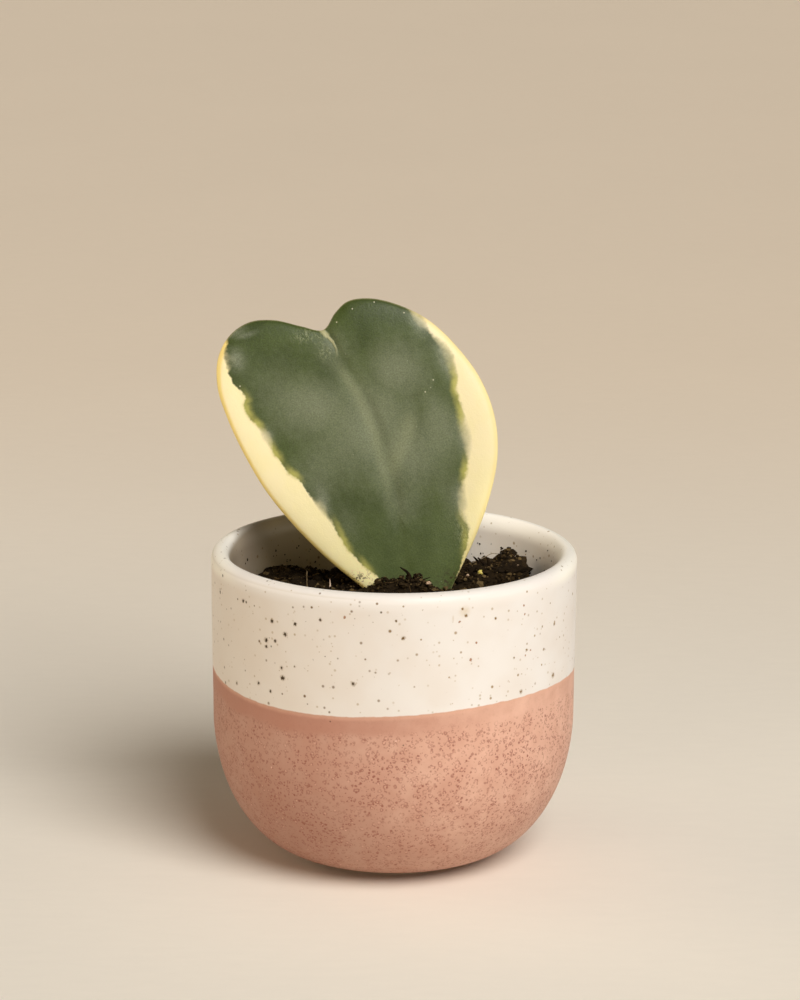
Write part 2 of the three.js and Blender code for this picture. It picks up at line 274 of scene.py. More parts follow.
class Finish:
    """A material. node() is the one way in which its nodes are made."""

    def __init__(self, name):
        self.material = bpy.data.materials.new(name)
        self.material.use_nodes = True
        self.tree = self.material.node_tree
        self.tree.nodes.clear()

    def node(self, kind, settings=None, values=None, output=0):
        made = self.tree.nodes.new(kind)
        for name, setting in (settings or {}).items():
            setattr(made, name, setting)
        for name, value in (values or {}).items():
            socket = made.inputs[name]
            if isinstance(value, Layer):
                self.tree.links.new(value.socket, socket)
            elif isinstance(value, tuple):
                socket.default_value = value[:len(socket.default_value)]
            else:
                socket.default_value = value
        return Layer(self, made.outputs[output]) if made.outputs else None

    def attribute(self, name, output="Fac"):
        return self.node("ShaderNodeAttribute", {"attribute_name": name}, output=output)

    def vector(self, operation, first, second, output=0):
        """Vector maths. The second value of SCALE is a number, and of the others a vector."""
        second_socket = "Scale" if operation == "SCALE" else 1
        values = {0: first, second_socket: second}
        return self.node("ShaderNodeVectorMath", {"operation": operation}, values, output)

    def millimetres(self):
        """Where a point of the piece lies, in millimetres."""
        return self.vector("SCALE", self.node("ShaderNodeTexCoord", output="Object"), 1 / MM)

    def axes(self, place):
        split = self.node("ShaderNodeSeparateXYZ", values={0: place})
        return [Layer(self, socket) for socket in split.socket.node.outputs]

    def point(self, x, y, z):
        return self.node("ShaderNodeCombineXYZ", values={0: x, 1: y, 2: z})

    def distance(self, place, spot):
        return self.vector("DISTANCE", place, spot, "Value")

    def away_from(self, place, start, end):
        """Distance to the straight piece between two places of the leaf's plane."""
        step = (end[0] - start[0], end[1] - start[1], 0)
        reach = self.shifted(place, (-start[0], -start[1], 0))
        along = self.vector("DOT_PRODUCT", reach, step, "Value")
        square = step[0] ** 2 + step[1] ** 2
        share = self.node("ShaderNodeMapRange", values={"Value": along, "From Max": square})
        return self.distance(reach, self.vector("SCALE", step, share))

    def shifted(self, place, amount):
        return self.vector("ADD", place, amount)

    def stretched(self, place, amount):
        return self.vector("MULTIPLY", place, amount)

    def grain(self, place, size, detail=2, roughness=0.5):
        """Noise between 0 and 1 with blotches of about this size."""
        values = {"Vector": place, "Scale": 1 / size, "Detail": detail, "Roughness": roughness}
        return self.node("ShaderNodeTexNoise", values=values)

    def scatter(self, place, spacing):
        """Distance to the nearest of the scattered points, and three random draws of that point."""
        distance = self.node("ShaderNodeTexVoronoi", values={"Vector": place, "Scale": 1 / spacing})
        colour = Layer(self, distance.socket.node.outputs["Color"])
        split = self.node("ShaderNodeSeparateColor", values={0: colour})
        draws = [Layer(self, socket) for socket in split.socket.node.outputs]
        return distance * spacing, draws

    def dots(self, place, spacing, least, varied, core=0.4):
        """Scattered round dots, 0 to 1, and their draws. Their radius is the least one and a varied part."""
        distance, draws = self.scatter(place, spacing)
        return (distance / (draws[0] * varied + least)).rise(1, core), draws

    def mix(self, share, first, second):
        """The first colour where share is 0, the second where it is 1. Each is a layer or a paint."""
        ends = [paint(*colour) if isinstance(colour, tuple) else colour for colour in (first, second)]
        values = {"Factor": share, 6: ends[0], 7: ends[1]}
        return self.node("ShaderNodeMix", {"data_type": "RGBA"}, values, output=2)

    def coats(self, colour, *layers):
        """A colour with others laid over it in turn, each given with its share."""
        for share, coat in layers:
            colour = self.mix(share, colour, coat)
        return colour

    def shade(self, colour, amount):
        """A colour made lighter or darker by an amount round 1."""
        return self.vector("SCALE", colour, amount)

    def relief(self, height):
        """A bump from a height in millimetres."""
        return self.node("ShaderNodeBump", values={"Height": height, "Distance": MM, "Strength": 1})

    def surface(self, **values):
        """The surface itself, from the Principled shader's sockets, with _ for a space in a name."""
        named = {name.replace("_", " "): value for name, value in values.items()}
        shader = self.node("ShaderNodeBsdfPrincipled", values=named)
        self.node("ShaderNodeOutputMaterial", values={"Surface": shader})
        return self.material


def dip_line(across, along):
    """Height of the line where the glazes meet, for a bearing whose cosine and sine are given."""
    twice_across = across * across * 2 - 1
    twice_along = across * along * 2
    return across * -0.425 + along * 1.06 + twice_across * -0.03 + twice_along * -1.39 + DIP_LEVEL


# Iron specks that stand out in the pale glaze: bearing in degrees, height and radius in millimetres
MARKED_SPECKS = [
    (-159.9, 66.3, 0.35), (-143.7, 67.1, 0.39), (-142.1, 67.1, 0.26), (-130.3, 64.4, 0.43),
    (-121.5, 64.8, 0.37), (-125.2, 62, 0.43), (-132.8, 59.6, 0.48), (-132.8, 58.1, 0.37),
    (-129.1, 59.9, 0.35), (-112.8, 66.6, 0.31), (-126.7, 53.9, 0.37), (-126.3, 51.6, 0.5),
    (-136.4, 48.9, 0.39), (-148, 46.9, 0.37), (-131.2, 47.8, 0.35), (-102.3, 52.4, 0.43),
    (-121.8, 54.9, 0.26), (-89.3, 67.4, 0.24), (-87.1, 63.4, 0.37), (-46.9, 47.7, 0.43),
    (-30.3, 61, 0.35), (-30.4, 48.8, 0.48), (-44.8, 57.2, 0.3), (-36.2, 56, 0.3), (-57.4, 66.3, 0.26),
    (-68.8, 69.5, 0.26), (-67.6, 67.8, 0.3), (-50.1, 56.1, 0.24), (-37.3, 61.6, 0.23), (-40.4, 48.6, 0.26),
]
RUSTY_SPECKS = [
    (-105.1, 67.8, 0.33), (-65.9, 57.4, 0.39), (-69.7, 66.5, 0.3), (-42.8, 56.9, 0.33), (-45.2, 55.9, 0.3),
    (-64.1, 61.2, 0.3), (-45.8, 65.8, 0.28), (-46.3, 67.9, 0.28), (-32.5, 47, 0.25),
]
STAIN = (15.9, -39.5, 68.8)


def strongest(layers):
    return functools.reduce(Layer.at_least, layers)


def nearness(finish, place, spots):
    """1 in the middle of a marked speck, 0 at its edge and negative outside it."""
    return strongest(
        1 - finish.distance(place, (*polar(CUP_RADIUS, math.radians(bearing)), height)) / radius
        for bearing, height, radius in spots)


def specks_of(finish, place, spacing, radius, share):
    """Specks of the glaze, 0 to 1, and a random draw for each. Only a share of the dots is kept."""
    specks, draws = finish.dots(place, spacing, radius * 0.4, radius * 0.6, 0.35)
    return specks * (draws[1] < share), draws[2]


def dipped_glaze():
    """Pale speckled glaze over the upper part and the inside, pink mottled glaze below the dip line."""
    finish = Finish("dipped_glaze")
    place = finish.millimetres()
    x, y, z = finish.axes(place)
    reach = (x * x + y * y) ** 0.5
    wobble = (finish.grain(place, 2.4) - 0.5) * 0.5
    above = z - dip_line(x / reach, y / reach) + wobble
    pale = above.rise(-0.14, 0.14).at_least(finish.attribute("inside"))

    # Pale glaze: painted light on the lip, painted shade on the outer left, peat stain with painted leaf
    # shadow inside at the left, and specks
    ivory = finish.mix(finish.grain(place, 11).rise(0.3, 0.75), (238, 232, 226), (234, 225, 216))
    # Painted light on the lip: whiter at the back, whitest at its left and right ends as painted reflection,
    # less white at the front where the highlight falls
    painted_lip_light = finish.mix(y.rise(20, -24), (253, 248, 240), (242, 235, 228))
    painted_lip_light = finish.mix((x * x).rise(1150, 1600), painted_lip_light, (255, 250, 238))
    # Peat stain inside at the left, and painted leaf shadow on that wall and on the back of the lip
    peat_stain_and_painted_shadow = finish.attribute("inside") * x.rise(4, -18) * (z - y.rise(2, 26) * 2).rise(72.6, 70.7)
    stain_and_shadow_tone = finish.mix(x.rise(-28, -35), (182, 162, 122), (150, 133, 110))
    ivory = finish.coats(
        ivory,
        # Warmer and darker on the outer left as painted shade
        (x.rise(20, -34) * 0.4, (230, 214, 195)),
        (z.rise(68.6, 71.4), painted_lip_light),
        (peat_stain_and_painted_shadow * 0.9, stain_and_shadow_tone))
    left_side = x.rise(14, -14)
    crowd = finish.grain(finish.shifted(place, (31, 7, 3)), 9).rise(0.3, 0.62)
    faint, faint_draw = specks_of(finish, place, 1.3, 0.44, crowd * 0.3 + 0.2)
    plain_share = crowd * 0.4 + left_side * 0.3 + 0.1
    plain, plain_draw = specks_of(finish, finish.shifted(place, (5, 9, 2)), 2.1, 0.52, plain_share)
    dark_crowd = crowd * (left_side * 0.62 + 0.12)
    dark, _ = specks_of(finish, finish.shifted(place, (9, 1, 8)), 4.2, 0.56, dark_crowd)
    hanging = finish.stretched(finish.shifted(place, (2, 6, 4)), (1, 1, 0.3))
    drips, drips_draw = specks_of(finish, hanging, 2.3, 0.4, z.rise(64, 70) * 0.22 + 0.1)
    uneven = (finish.grain(place, 0.4, 3) - 0.5) * 1.8
    marked = nearness(finish, place, MARKED_SPECKS) + uneven
    rusty = nearness(finish, place, RUSTY_SPECKS) + uneven
    stain = finish.distance(place, STAIN).rise(1.9, 0.3) * (finish.grain(place, 0.7, 3) * 0.7 + 0.15)
    umber = finish.mix(left_side, (152, 118, 58), (112, 80, 34))
    iron = finish.mix(left_side, (126, 96, 46), (62, 44, 20))
    coat = finish.coats(
        ivory,
        (faint * (faint_draw * 0.35 + 0.28), (166, 136, 78)),
        (drips * (drips_draw * 0.2 + 0.18), (182, 150, 92)),
        (stain * 0.65, (204, 174, 116)),
        (plain * (plain_draw * 0.35 + 0.6), umber),
        (rusty.rise(-0.3, 0.4) * 0.85, (152, 92, 34)),
        (marked.rise(-0.9, 0) * 0.45, (150, 120, 74)),
        ((dark * 0.95).at_least(marked.rise(-0.15, 0.3)), iron))

    # Pink glaze: a smooth band under the line, then darker rings and flecks that gather in clouds; paler on
    # the right as painted light, darker on the left and low down as painted shade
    band = (above + (finish.grain(place, 7) - 0.5) * 3.5).rise(-5.6, -3.4)
    pink_painted_shade = finish.mix(finish.grain(place, 14).rise(0.3, 0.7), (197, 151, 131), (191, 142, 121))
    pink_painted_light = finish.mix(finish.grain(place, 6, 3).rise(0.3, 0.7), (236, 190, 167), (225, 176, 153))
    cloud = finish.grain(finish.shifted(place, (17, 40, 5)), 5.5, 3).rise(0.3, 0.6)
    breaks = finish.grain(place, 0.7, 3, 0.6).rise(0.4, 0.58)
    values = {"Vector": place, "Scale": 1.5, "Detail": 2}
    jitter = finish.node("ShaderNodeTexNoise", values=values, output=1)
    crooked = finish.shifted(place, finish.vector("SCALE", jitter, 0.5))
    distance, draws = finish.scatter(crooked, 1.25)
    ring = abs(distance - (draws[0] * 0.2 + 0.3)).rise(0.2, 0.04) * breaks
    fleck, fleck_draws = finish.dots(finish.shifted(crooked, (3, 8, 1)), 1, 0.16, 0.28)
    fleck = fleck * (fleck_draws[1] < 0.75)
    dot = finish.dots(finish.shifted(crooked, (7, 3, 6)), 0.9, 0.16, 0.12)[0] * 0.7
    marks = (ring * 0.8).at_least(fleck).at_least(dot) * (cloud * 0.48 + 0.52) * (1 - band * 0.9)
    core = (distance / 0.34).rise(1, 0.3) * (draws[1] > 0.5) * (1 - band)
    pins, pin_draws = finish.dots(finish.shifted(place, (2, 2, 9)), 4.2, 0.3, 0)
    # Paler pink on the right as painted light; the band is darker on the left as painted shade
    rosy = finish.coats(
        finish.mix(x.rise(-34, 30), pink_painted_shade, pink_painted_light),
        (band * x.rise(30, -26) * 0.62, (186, 128, 107)),
        (cloud * 0.2, (186, 124, 102)),
        (above.rise(-1.3, -0.15) * 0.55, (230, 182, 156)))
    # Darker towards the bottom of the bowl as painted shade
    rosy = finish.coats(
        finish.shade(rosy, z.rise(4, 38) * 0.18 + 0.79),
        (marks * 0.88, (150, 89, 73)),
        (core * 0.35, (230, 184, 162)),
        (pins * (pin_draws[0] > 0.55) * 0.8, (236, 196, 176)),
        (pins * (pin_draws[0] < 0.16) * 0.8, (84, 56, 44)))

    # Bare clay on the foot ring and the underside
    clay = z.rise(1.25, 0.9)
    colour = finish.coats(rosy, (pale, coat), (clay, (206, 190, 168)))
    gloss = finish.grain(place, 5)
    roughness = (0.55 - pale * 0.15) + (gloss - 0.5) * 0.1 + marks * (1 - pale) * 0.1 + clay * 0.3
    peel = finish.grain(place, 2.4, 1) * 0.012
    height = peel + (marks * -0.03 + finish.grain(place, 0.35) * 0.012) * (1 - pale)
    height = height - (plain + dark) * pale * 0.02
    return finish.surface(
        Base_Color=colour, Roughness=roughness, Normal=finish.relief(height), Specular_IOR_Level=0.3)


def variegated_leaf():
    """Green heart with a ragged edge inside a cream margin, waxy and a little dusty."""
    finish = Finish("variegated_leaf")
    place = finish.attribute("leaf_place", "Vector")
    x, y, z = finish.axes(place)
    flat = finish.point(x, y, 0)
    under = z.rise(0.4, -0.4)
    milky = finish.attribute("milky")
    fresh = finish.attribute("fresh")
    rim = finish.attribute("rim")

    # The edge of the green wanders and frays, and is blurred where it is milky
    wander = (finish.grain(place, 3.6, 3) - 0.5) * 1.5 + (finish.grain(place, 0.9, 1) - 0.5) * 0.5
    depth = finish.attribute("green_depth") + wander
    blur = milky * 2.2 + 0.22
    green = depth.rise(0 - blur, blur)

    # Cream of the margin, deeper low down and yellow along the very edge, lighter on the left and low down as
    # painted light and darker on the right as painted shade
    cream = finish.mix(y.rise(46, 8), (254, 238, 190), (255, 242, 180))
    cream = finish.mix(finish.grain(place, 6).rise(0.35, 0.7) * 0.4, cream, (250, 236, 176))
    cream = finish.shade(cream, x.rise(14, -8) * 0.12 + y.rise(32, 12) * 0.08 + 0.92)
    edge_tone = rim.rise(0, 0.75) * (x.rise(4, -10) * 0.42 + 0.32)
    cream = finish.mix(edge_tone, cream, (246, 214, 112))

    # Green: deep at the lobes, greyer where wax and a painted sheen lie in streaks that fan out from the tip
    speckle = finish.grain(place, 0.36, 2, 0.7)
    cloud = finish.grain(place, 8, 3)
    mottle = finish.grain(finish.shifted(place, (4, 2, 0)), 1.3, 4, 0.65)
    fan = finish.point(x / (y + 14) * 30, y * 0.14, 0)
    streaks = finish.grain(fan, 1.4, 3)
    lobes = finish.mix(cloud.rise(0.3, 0.7), (60, 72, 28), (72, 85, 38))
    lower = finish.mix(cloud.rise(0.3, 0.7), (76, 88, 45), (88, 100, 56))
    leafy = finish.mix(y.rise(44, 14), lobes, lower)
    bloom_and_sheen = finish.attribute("bloom_and_sheen") + finish.attribute("faint_bloom_and_sheen") * 0.42
    wax_and_sheen = bloom_and_sheen + (cloud - 0.5) * 0.22 + (streaks - 0.5) * 0.3 + (mottle - 0.5) * 0.4
    haze = milky * (finish.grain(place, 1.4, 3).rise(0.3, 0.65) * 0.4 + 0.6)
    worn = finish.grain(finish.stretched(place, (1, 0.65, 1)), 0.6, 3, 0.65)
    flecks = finish.attribute("flecked") * worn.rise(0.46, 0.62)
    # Over the green: wax with painted sheen, painted highlights on the vein flanks, milky haze, worn flecks,
    # the rim and the paler underside
    leafy = finish.coats(
        leafy,
        (wax_and_sheen.rise(0, 1.3), (122, 128, 100)),
        (finish.attribute("painted_flank_highlight") * 0.42, (140, 144, 108)),
        (haze * 0.8, (140, 145, 122)),
        (flecks * 0.45, (158, 162, 122)),
        (rim.rise(0.9, 1) * 0.4, (176, 168, 118)),
        (under * 0.7, (126, 136, 92)))
    # Painted light towards the bottom of the blade, and painted shade at the top of the left lobe
    light = y.rise(24, 12) * 0.14 - y.rise(76, 82) * x.rise(-4, -14) * 0.14
    leafy = finish.shade(leafy, (speckle - 0.5) * 1.1 + 1 + light)
    fringe = depth.rise(2, 0.3) * depth.rise(-0.8, 0.15) * fresh

    # The pale scar in the notch, and specks of dust and soil
    scar = strongest(
        (finish.away_from(flat, start, end) / width).rise(1.2, 0.3)
        for width, start, end in zip((0.7, 0.4, 0.3, 0.3), CRACK, CRACK[1:]))
    scar = scar * y.rise(68.5, 74) * (1 - under)
    grains = strongest((finish.distance(flat, (*spot, 0)) / 0.22).rise(1.1, 0.3) for spot in DUST)
    dust, dust_draws = finish.dots(place, 2.6, 0.06, 0.12, 0.5)
    dust = dust * (dust_draws[1] > 0.45)
    soiled = finish.attribute("soiled") * finish.grain(place, 0.8, 3, 0.6).rise(0.52, 0.58)
    skin = finish.coats(
        cream,
        (green, leafy),
        (fringe * 0.85, (190, 184, 98)),
        (scar * 0.62, (208, 200, 152)),
        (grains * (1 - under) * 0.7, (220, 214, 184)),
        (dust * 0.35, (206, 204, 176)),
        (soiled * 0.9, (62, 46, 28)))
    roughness = 0.42 + wax_and_sheen.rise(0, 1) * 0.1 + under * 0.15 + soiled * 0.3
    height = speckle * 0.04 + mottle * 0.05 + finish.grain(place, 1.8) * 0.04 + flecks * 0.05 + scar * 0.12
    return finish.surface(
        Base_Color=skin, Roughness=roughness, Normal=finish.relief(height), Specular_IOR_Level=0.35,
        Subsurface_Weight=0.08, Subsurface_Radius=(1, 0.9, 0.3), Subsurface_Scale=0.0012)


def peat_finish():
    """Dark, damp, crumbly peat. Each crumb has a tone of its own."""
    finish = Finish("peat")
    place = finish.millimetres()
    tone = finish.attribute("tone")
    damp = finish.grain(place, 8, 3)
    fine = finish.grain(place, 0.5, 4, 0.7)
    colour = finish.coats(
        finish.mix((tone * 0.6 + fine * 0.6).rise(0.35, 1.05), (32, 23, 11), (72, 56, 32)),
        (tone.rise(0.74, 0.96) * 0.7, (120, 100, 66)),
        ((fine - damp * 0.2).rise(0.54, 0.68) * 0.5, (96, 78, 48)))
    height = fine * 0.3 + finish.grain(place, 0.2) * 0.08
    return finish.surface(
        Base_Color=colour, Roughness=0.95 - damp * 0.12, Normal=finish.relief(height),
        Specular_IOR_Level=0.12)


def grainy_finish(name, first, second, noise_values, edges, roughness, relief, stretch=(1, 1, 1), **sockets):
    """A natural stuff whose two colours, roughness and relief follow one noise."""
    finish = Finish(name)
    grain = finish.grain(finish.stretched(finish.millimetres(), stretch), *noise_values)
    return finish.surface(
        Base_Color=finish.mix(grain.rise(*edges), first, second),
        Roughness=grain * roughness[1] + roughness[0], Normal=finish.relief(grain * relief), **sockets)


def fibre_finish(name, first, second, size):
    """Dry plant fibre or bark, streaked in two colours."""
    return grainy_finish(
        name, first, second, (size, 4, 0.65), (0.35, 0.65), (0.8, 0.15), 0.12, (1, 1, 0.25),
        Specular_IOR_Level=0.1)


def grit_finish():
    """Pale pinkish mineral grain with darker veins."""
    return grainy_finish(
        "grit", (170, 136, 108), (226, 196, 164), (0.45, 4, 0.6), (0.35, 0.68), (0.6, 0.25), 0.08, IOR=1.5)


def bead_finish():
    """Waxy yellow-green shell of a slow-release bead, a little darker at its pores."""
    return grainy_finish(
        "bead_shell", (196, 176, 78), (226, 208, 122), (0.5, 3), (0.3, 0.7), (0.3, 0.15), 0.03, IOR=1.45,
        Subsurface_Weight=0.3, Subsurface_Radius=(1, 0.9, 0.3), Subsurface_Scale=0.0006)


def floor_finish():
    """Pale paper, yellower towards the back and darker there as painted light falloff, with a painted cup
    shadow at the left and a fine weave.
    """
    finish = Finish("paper_floor")
    place = finish.node("ShaderNodeTexCoord", output="Object")
    x, y, _ = finish.axes(place)
    # Darker towards the back as painted light falloff, and at the left behind the cup as painted shadow
    far = (y + 0.1).at_least(0) / 0.35
    painted_cup_shadow = y.rise(0.32, 0.12) * x.rise(0.06, -0.12) * 0.08
    weave = finish.grain(finish.stretched(place, (0.3, 1, 1)), 0.003, 4, 0.7)
    blotch = finish.grain(place, 0.12, 3)
    tone = (0.28 / (far * far + 1) + 0.72) * (1 - painted_cup_shadow)
    tone = tone * ((weave - 0.5) * 0.05 + (blotch - 0.5) * 0.03 + 1)
    colour = finish.shade(finish.mix(y.rise(0, 0.6), (248, 240, 227), (253, 236, 214)), tone)
    return finish.surface(Base_Color=colour, Roughness=0.95, Specular_IOR_Level=0.1)


# Shapes

def arc(centre, radii, start, end, steps):
    """Points of radius and height along an arc, by its angles in degrees."""
    points = []
    for step in range(steps + 1):
        angle = math.radians(start + (end - start) * step / steps)
        points.append((centre[0] + radii[0] * math.cos(angle), centre[1] + radii[1] * math.sin(angle)))
    return points


def rows(start, end, count):
    """Points evenly spaced from start up to end, with end itself left out."""
    return [
        tuple(a + (b - a) * step / count for a, b in zip(start, end))
        for step in range(count)
    ]


def turned(profile, segments):
    """A closed body turned from its section, which starts and ends on the axis."""
    bm = bmesh.new()
    corners = [bm.verts.new((radius, 0, height)) for radius, height in profile]
    for first, second in zip(corners, corners[1:]):
        bm.edges.new((first, second))
    bmesh.ops.spin(
        bm, geom=bm.verts[:] + bm.edges[:], axis=(0, 0, 1), cent=(0, 0, 0),
        angle=math.tau, steps=segments, use_merge=True)
    bmesh.ops.remove_doubles(bm, verts=bm.verts, dist=1e-5)
    bmesh.ops.recalc_face_normals(bm, faces=bm.faces)
    return bm


def smooth_step(value, low, high):
    share = min(1, max(0, (value - low) / (high - low)))
    return share * share * (3 - 2 * share)


def bell(value, width):
    return math.exp(-((value / width) ** 2))


def as_mesh(bm, name):
    mesh = bpy.data.meshes.new(name)
    bm.to_mesh(mesh)
    bm.free()
    return mesh


def finished(bm, name, finish, slot, *nodes, smooth=True):
    """The piece in metres, riding on the root and standing for these nodes."""
    bmesh.ops.scale(bm, vec=(MM, MM, MM), verts=bm.verts)
    for face in bm.faces:
        face.smooth = smooth
    mesh = as_mesh(bm, name)
    mesh.materials.append(finish)
    piece = placed(name, mesh)
    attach(piece, "root")
    if nodes:
        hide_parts(*nodes)
    return piece


def nearest_on(x, y, start, end):
    """The point of a straight stretch that lies nearest to a place, and how far away it is."""
    (ax, ay), (bx, by) = start, end
    dx, dy = bx - ax, by - ay
    share = min(1, max(0, ((x - ax) * dx + (y - ay) * dy) / (dx * dx + dy * dy)))
    px, py = ax + share * dx, ay + share * dy
    return px, py, math.hypot(x - px, y - py)


def near_path(x, y, path):
    """Distance to a path of the leaf's plane, positive on its right side going down, and the height there."""
    best = None
    for start, end in zip(path, path[1:]):
        px, py, distance = nearest_on(x, y, start, end)
        if best is None or distance < best[0]:
            side = 1 if (end[0] - start[0]) * (y - py) - (end[1] - start[1]) * (x - px) > 0 else -1
            best = (distance, side, py)
    return best[0] * best[1], best[2]


def cup():
    lip = (CUP_RADIUS - LIP_RADIUS, LIP_LEVEL)
    bowl = (BOWL_FLAT_RADIUS, BOWL_TOP)
    across = BOWL_RADIUS - BOWL_FLAT_RADIUS

    def wall(height):
        share = (height - BOWL_TOP) / (LIP_LEVEL - BOWL_TOP)
        return BOWL_RADIUS + (CUP_RADIUS - BOWL_RADIUS) * share, height

    low, high = DIP_LEVEL - DIP_ROWS_WITHIN, DIP_LEVEL + DIP_ROWS_WITHIN
    edge = FOOT_EDGE
    flat_radii = (0, FOOT_INNER_RADIUS / 2, FOOT_INNER_RADIUS - edge)
    profile = [(radius, FOOT_HEIGHT) for radius in flat_radii]
    profile += arc((FOOT_INNER_RADIUS + edge, edge), (edge, edge), 180, 270, 5)
    profile += arc((FOOT_OUTER_RADIUS - edge, edge), (edge, edge), 270, 360, 5)
    profile += arc(bowl, (across, BOWL_TOP - FOOT_HEIGHT), -90, 0, 40)[:-1]
    profile += rows(wall(BOWL_TOP), wall(low), 8)
    profile += rows(wall(low), wall(high), 24)
    profile += rows(wall(high), wall(LIP_LEVEL), 16)
    profile += arc(lip, (LIP_RADIUS, LIP_RADIUS), 0, 90, 11)
    lip_inside = (lip[0], CUP_HEIGHT - LIP_DROP_INSIDE)
    profile += arc(lip_inside, (LIP_RADIUS, LIP_DROP_INSIDE), 90, 180, 16)[1:]
    profile += rows((CUP_INNER_RADIUS, lip_inside[1]), (BOWL_RADIUS - WALL, BOWL_TOP), 12)[1:]
    profile += arc(bowl, (across - WALL, BOWL_TOP - INNER_FLOOR), 0, -90, 20)
    profile.append((0, INNER_FLOOR))
    bm = turned(profile, CUP_SEGMENTS)

    inside = bm.verts.layers.float.new("inside")
    bm.normal_update()
    for vert in bm.verts:
        reach = math.hypot(vert.co.x, vert.co.y)
        if reach < 1:
            vert[inside] = 1 if vert.co.z > FOOT_HEIGHT + 1 else 0
            continue
        out = Vector((vert.co.x, vert.co.y, 0)) / reach
        faces_in = vert.normal.dot(out) < 0 or vert.normal.z > 0.5
        vert[inside] = 1 if faces_in and vert.co.z > FOOT_HEIGHT + 1 else 0
        if vert[inside] or vert.co.z < FOOT_HEIGHT:
            continue
        # The rows near the dip line are moved along the wall to follow it
        line = dip_line(out.x, out.y)
        height = vert.co.z
        if BOWL_TOP < height < LIP_LEVEL:
            span = height - DIP_LEVEL
            room = (BOWL_TOP - DIP_LEVEL) if span < 0 else (LIP_LEVEL - DIP_LEVEL)
            height += (line - DIP_LEVEL) * (1 - smooth_step(span / room, 0.15, 1))
            reach = wall(height)[0]
        # The pink part lies back by the thickness of the pale glaze
        reach -= GLAZE_STEP * smooth_step(line - height, 0, 0.45)
        wave = noise.noise(Vector((vert.co.x, vert.co.y, height * 1.4)) / 13)
        reach -= HAND_WAVE * (0.5 + 0.5 * wave) * smooth_step(height, FOOT_HEIGHT, BOWL_TOP / 2)
        vert.co = out * reach + Vector((0, 0, height))
    return finished(bm, "cup", dipped_glaze(), "glaze", "pot")


def seeded_draws(seed):
    """Repeatable draws between 0 and 1, the same ones as the peat's solid is made with."""
    state = seed
    while True:
        state = state * 16807 % 2147483647
        yield state / 2147483647


def lump_places():
    draw = seeded_draws(LUMP_SEED)
    places = []
    for _ in range(LUMP_COUNT):
        reach = CUP_INNER_RADIUS * math.sqrt(next(draw))
        bearing = math.tau * next(draw)
        radius = LUMP_RADII[0] + (LUMP_RADII[1] - LUMP_RADII[0]) * next(draw) ** 2
        places.append((*polar(reach, bearing), radius))
    return places


def peat_height(x, y):
    """Height of the peat over a point of the plan, without its crumbs."""
    height = PEAT_LEVEL
    for mound_x, mound_y, rise, span_x, span_y, power in PEAT_MOUNDS + PEAT_SETTLED:
        across, along = abs((x - mound_x) / span_x), abs((y - mound_y) / span_y)
        height += rise * math.exp(-across ** power - along ** power)
    return height


def heart_outline(count):
    """Evenly spaced points of a smooth closed curve through the heart's points."""
    knots = [Vector(point) for point in HEART]
    dense = []
    for index, start in enumerate(knots):
        before = knots[index - 1]
        end = knots[(index + 1) % len(knots)]
        after = knots[(index + 2) % len(knots)]
        gaps = [math.sqrt((b - a).length) for a, b in ((before, start), (start, end), (end, after))]
        leave = (start - before) / gaps[0] - (end - before) / (gaps[0] + gaps[1]) + (end - start) / gaps[1]
        arrive = (end - start) / gaps[1] - (after - start) / (gaps[1] + gaps[2]) + (after - end) / gaps[2]
        handles = (start + leave * gaps[1] / 3, end - arrive * gaps[1] / 3)
        dense += geometry.interpolate_bezier(start, *handles, end, 33)[:-1]
    dense.append(dense[0])
    lengths = [0]
    for first, second in zip(dense, dense[1:]):
        lengths.append(lengths[-1] + (second - first).length)
    points = []
    span = 0
    for step in range(count):
        target = lengths[-1] * step / count
        while lengths[span + 1] < target:
            span += 1
        share = (target - lengths[span]) / (lengths[span + 1] - lengths[span])
        points.append(dense[span].lerp(dense[span + 1], share))
    return points


def blade_bend(x, y):
    """How far the blade's middle surface stands off its plane."""
    curl = max(0, y - BLADE_TIP_FROM)
    swell = noise.noise(Vector((x / 15, y / 15, 0.4))) * 0.35
    return -BLADE_CROWN * x * x - BLADE_TIP_CURL * curl * curl + swell


def blade_furrows(x, y):
    """Depth of the midrib and the side vein below the upper face. Their left flanks are the wide ones."""
    gap, along = near_path(x, y, MIDRIB)
    width = 1 if gap > 0 else 3.2
    strength = 0.42 * smooth_step(along, 28, 44) * (1 - 0.75 * smooth_step(along, 52, 64)) + 0.1
    furrow = strength * bell(gap, width)
    vein_gap, _ = near_path(x, y, SIDE_VEIN)
    furrow += 0.26 * bell(vein_gap, 0.9 if vein_gap > 0 else 3.2)
    crease = 0.5 * bell(gap, 0.7) * smooth_step(along, 69, 73)
    return furrow + crease


def painted_flank_highlights(x, y):
    """Strength of the painted highlights on the left flanks of the midrib and the side vein, which face the
    light.
    """
    gap, along = near_path(x, y, MIDRIB)
    stripe = bell(gap + 1.5, 1.2) * smooth_step(gap, 0.5, -0.4)
    stripe *= smooth_step(along, 26, 44) * (1 - smooth_step(along, 64, 71))
    gap, along = near_path(x, y, SIDE_VEIN)
    patch = bell(gap + 1.9, 1.9) * smooth_step(gap, 0.4, -0.3)
    patch *= smooth_step(along, 34, 42) * (1 - smooth_step(along, 49, 53))
    return max(stripe, patch)


def green_depth(x, y):
    """How deep inside the green a point lies, negative in the cream margin."""
    nearest = math.inf
    inside = False
    for (ax, ay), (bx, by) in zip(GREEN_EDGE, GREEN_EDGE[1:] + GREEN_EDGE[:1]):
        nearest = min(nearest, nearest_on(x, y, (ax, ay), (bx, by))[2])
        if (ay > y) != (by > y) and x < ax + (y - ay) * (bx - ax) / (by - ay):
            inside = not inside
    return nearest if inside else -nearest


def patches(x, y, places):
    """The strongest of some soft round patches of the blade, each a centre and its spans."""
    return max(bell(x - px, across) * bell(y - py, along) for px, py, across, along in places)


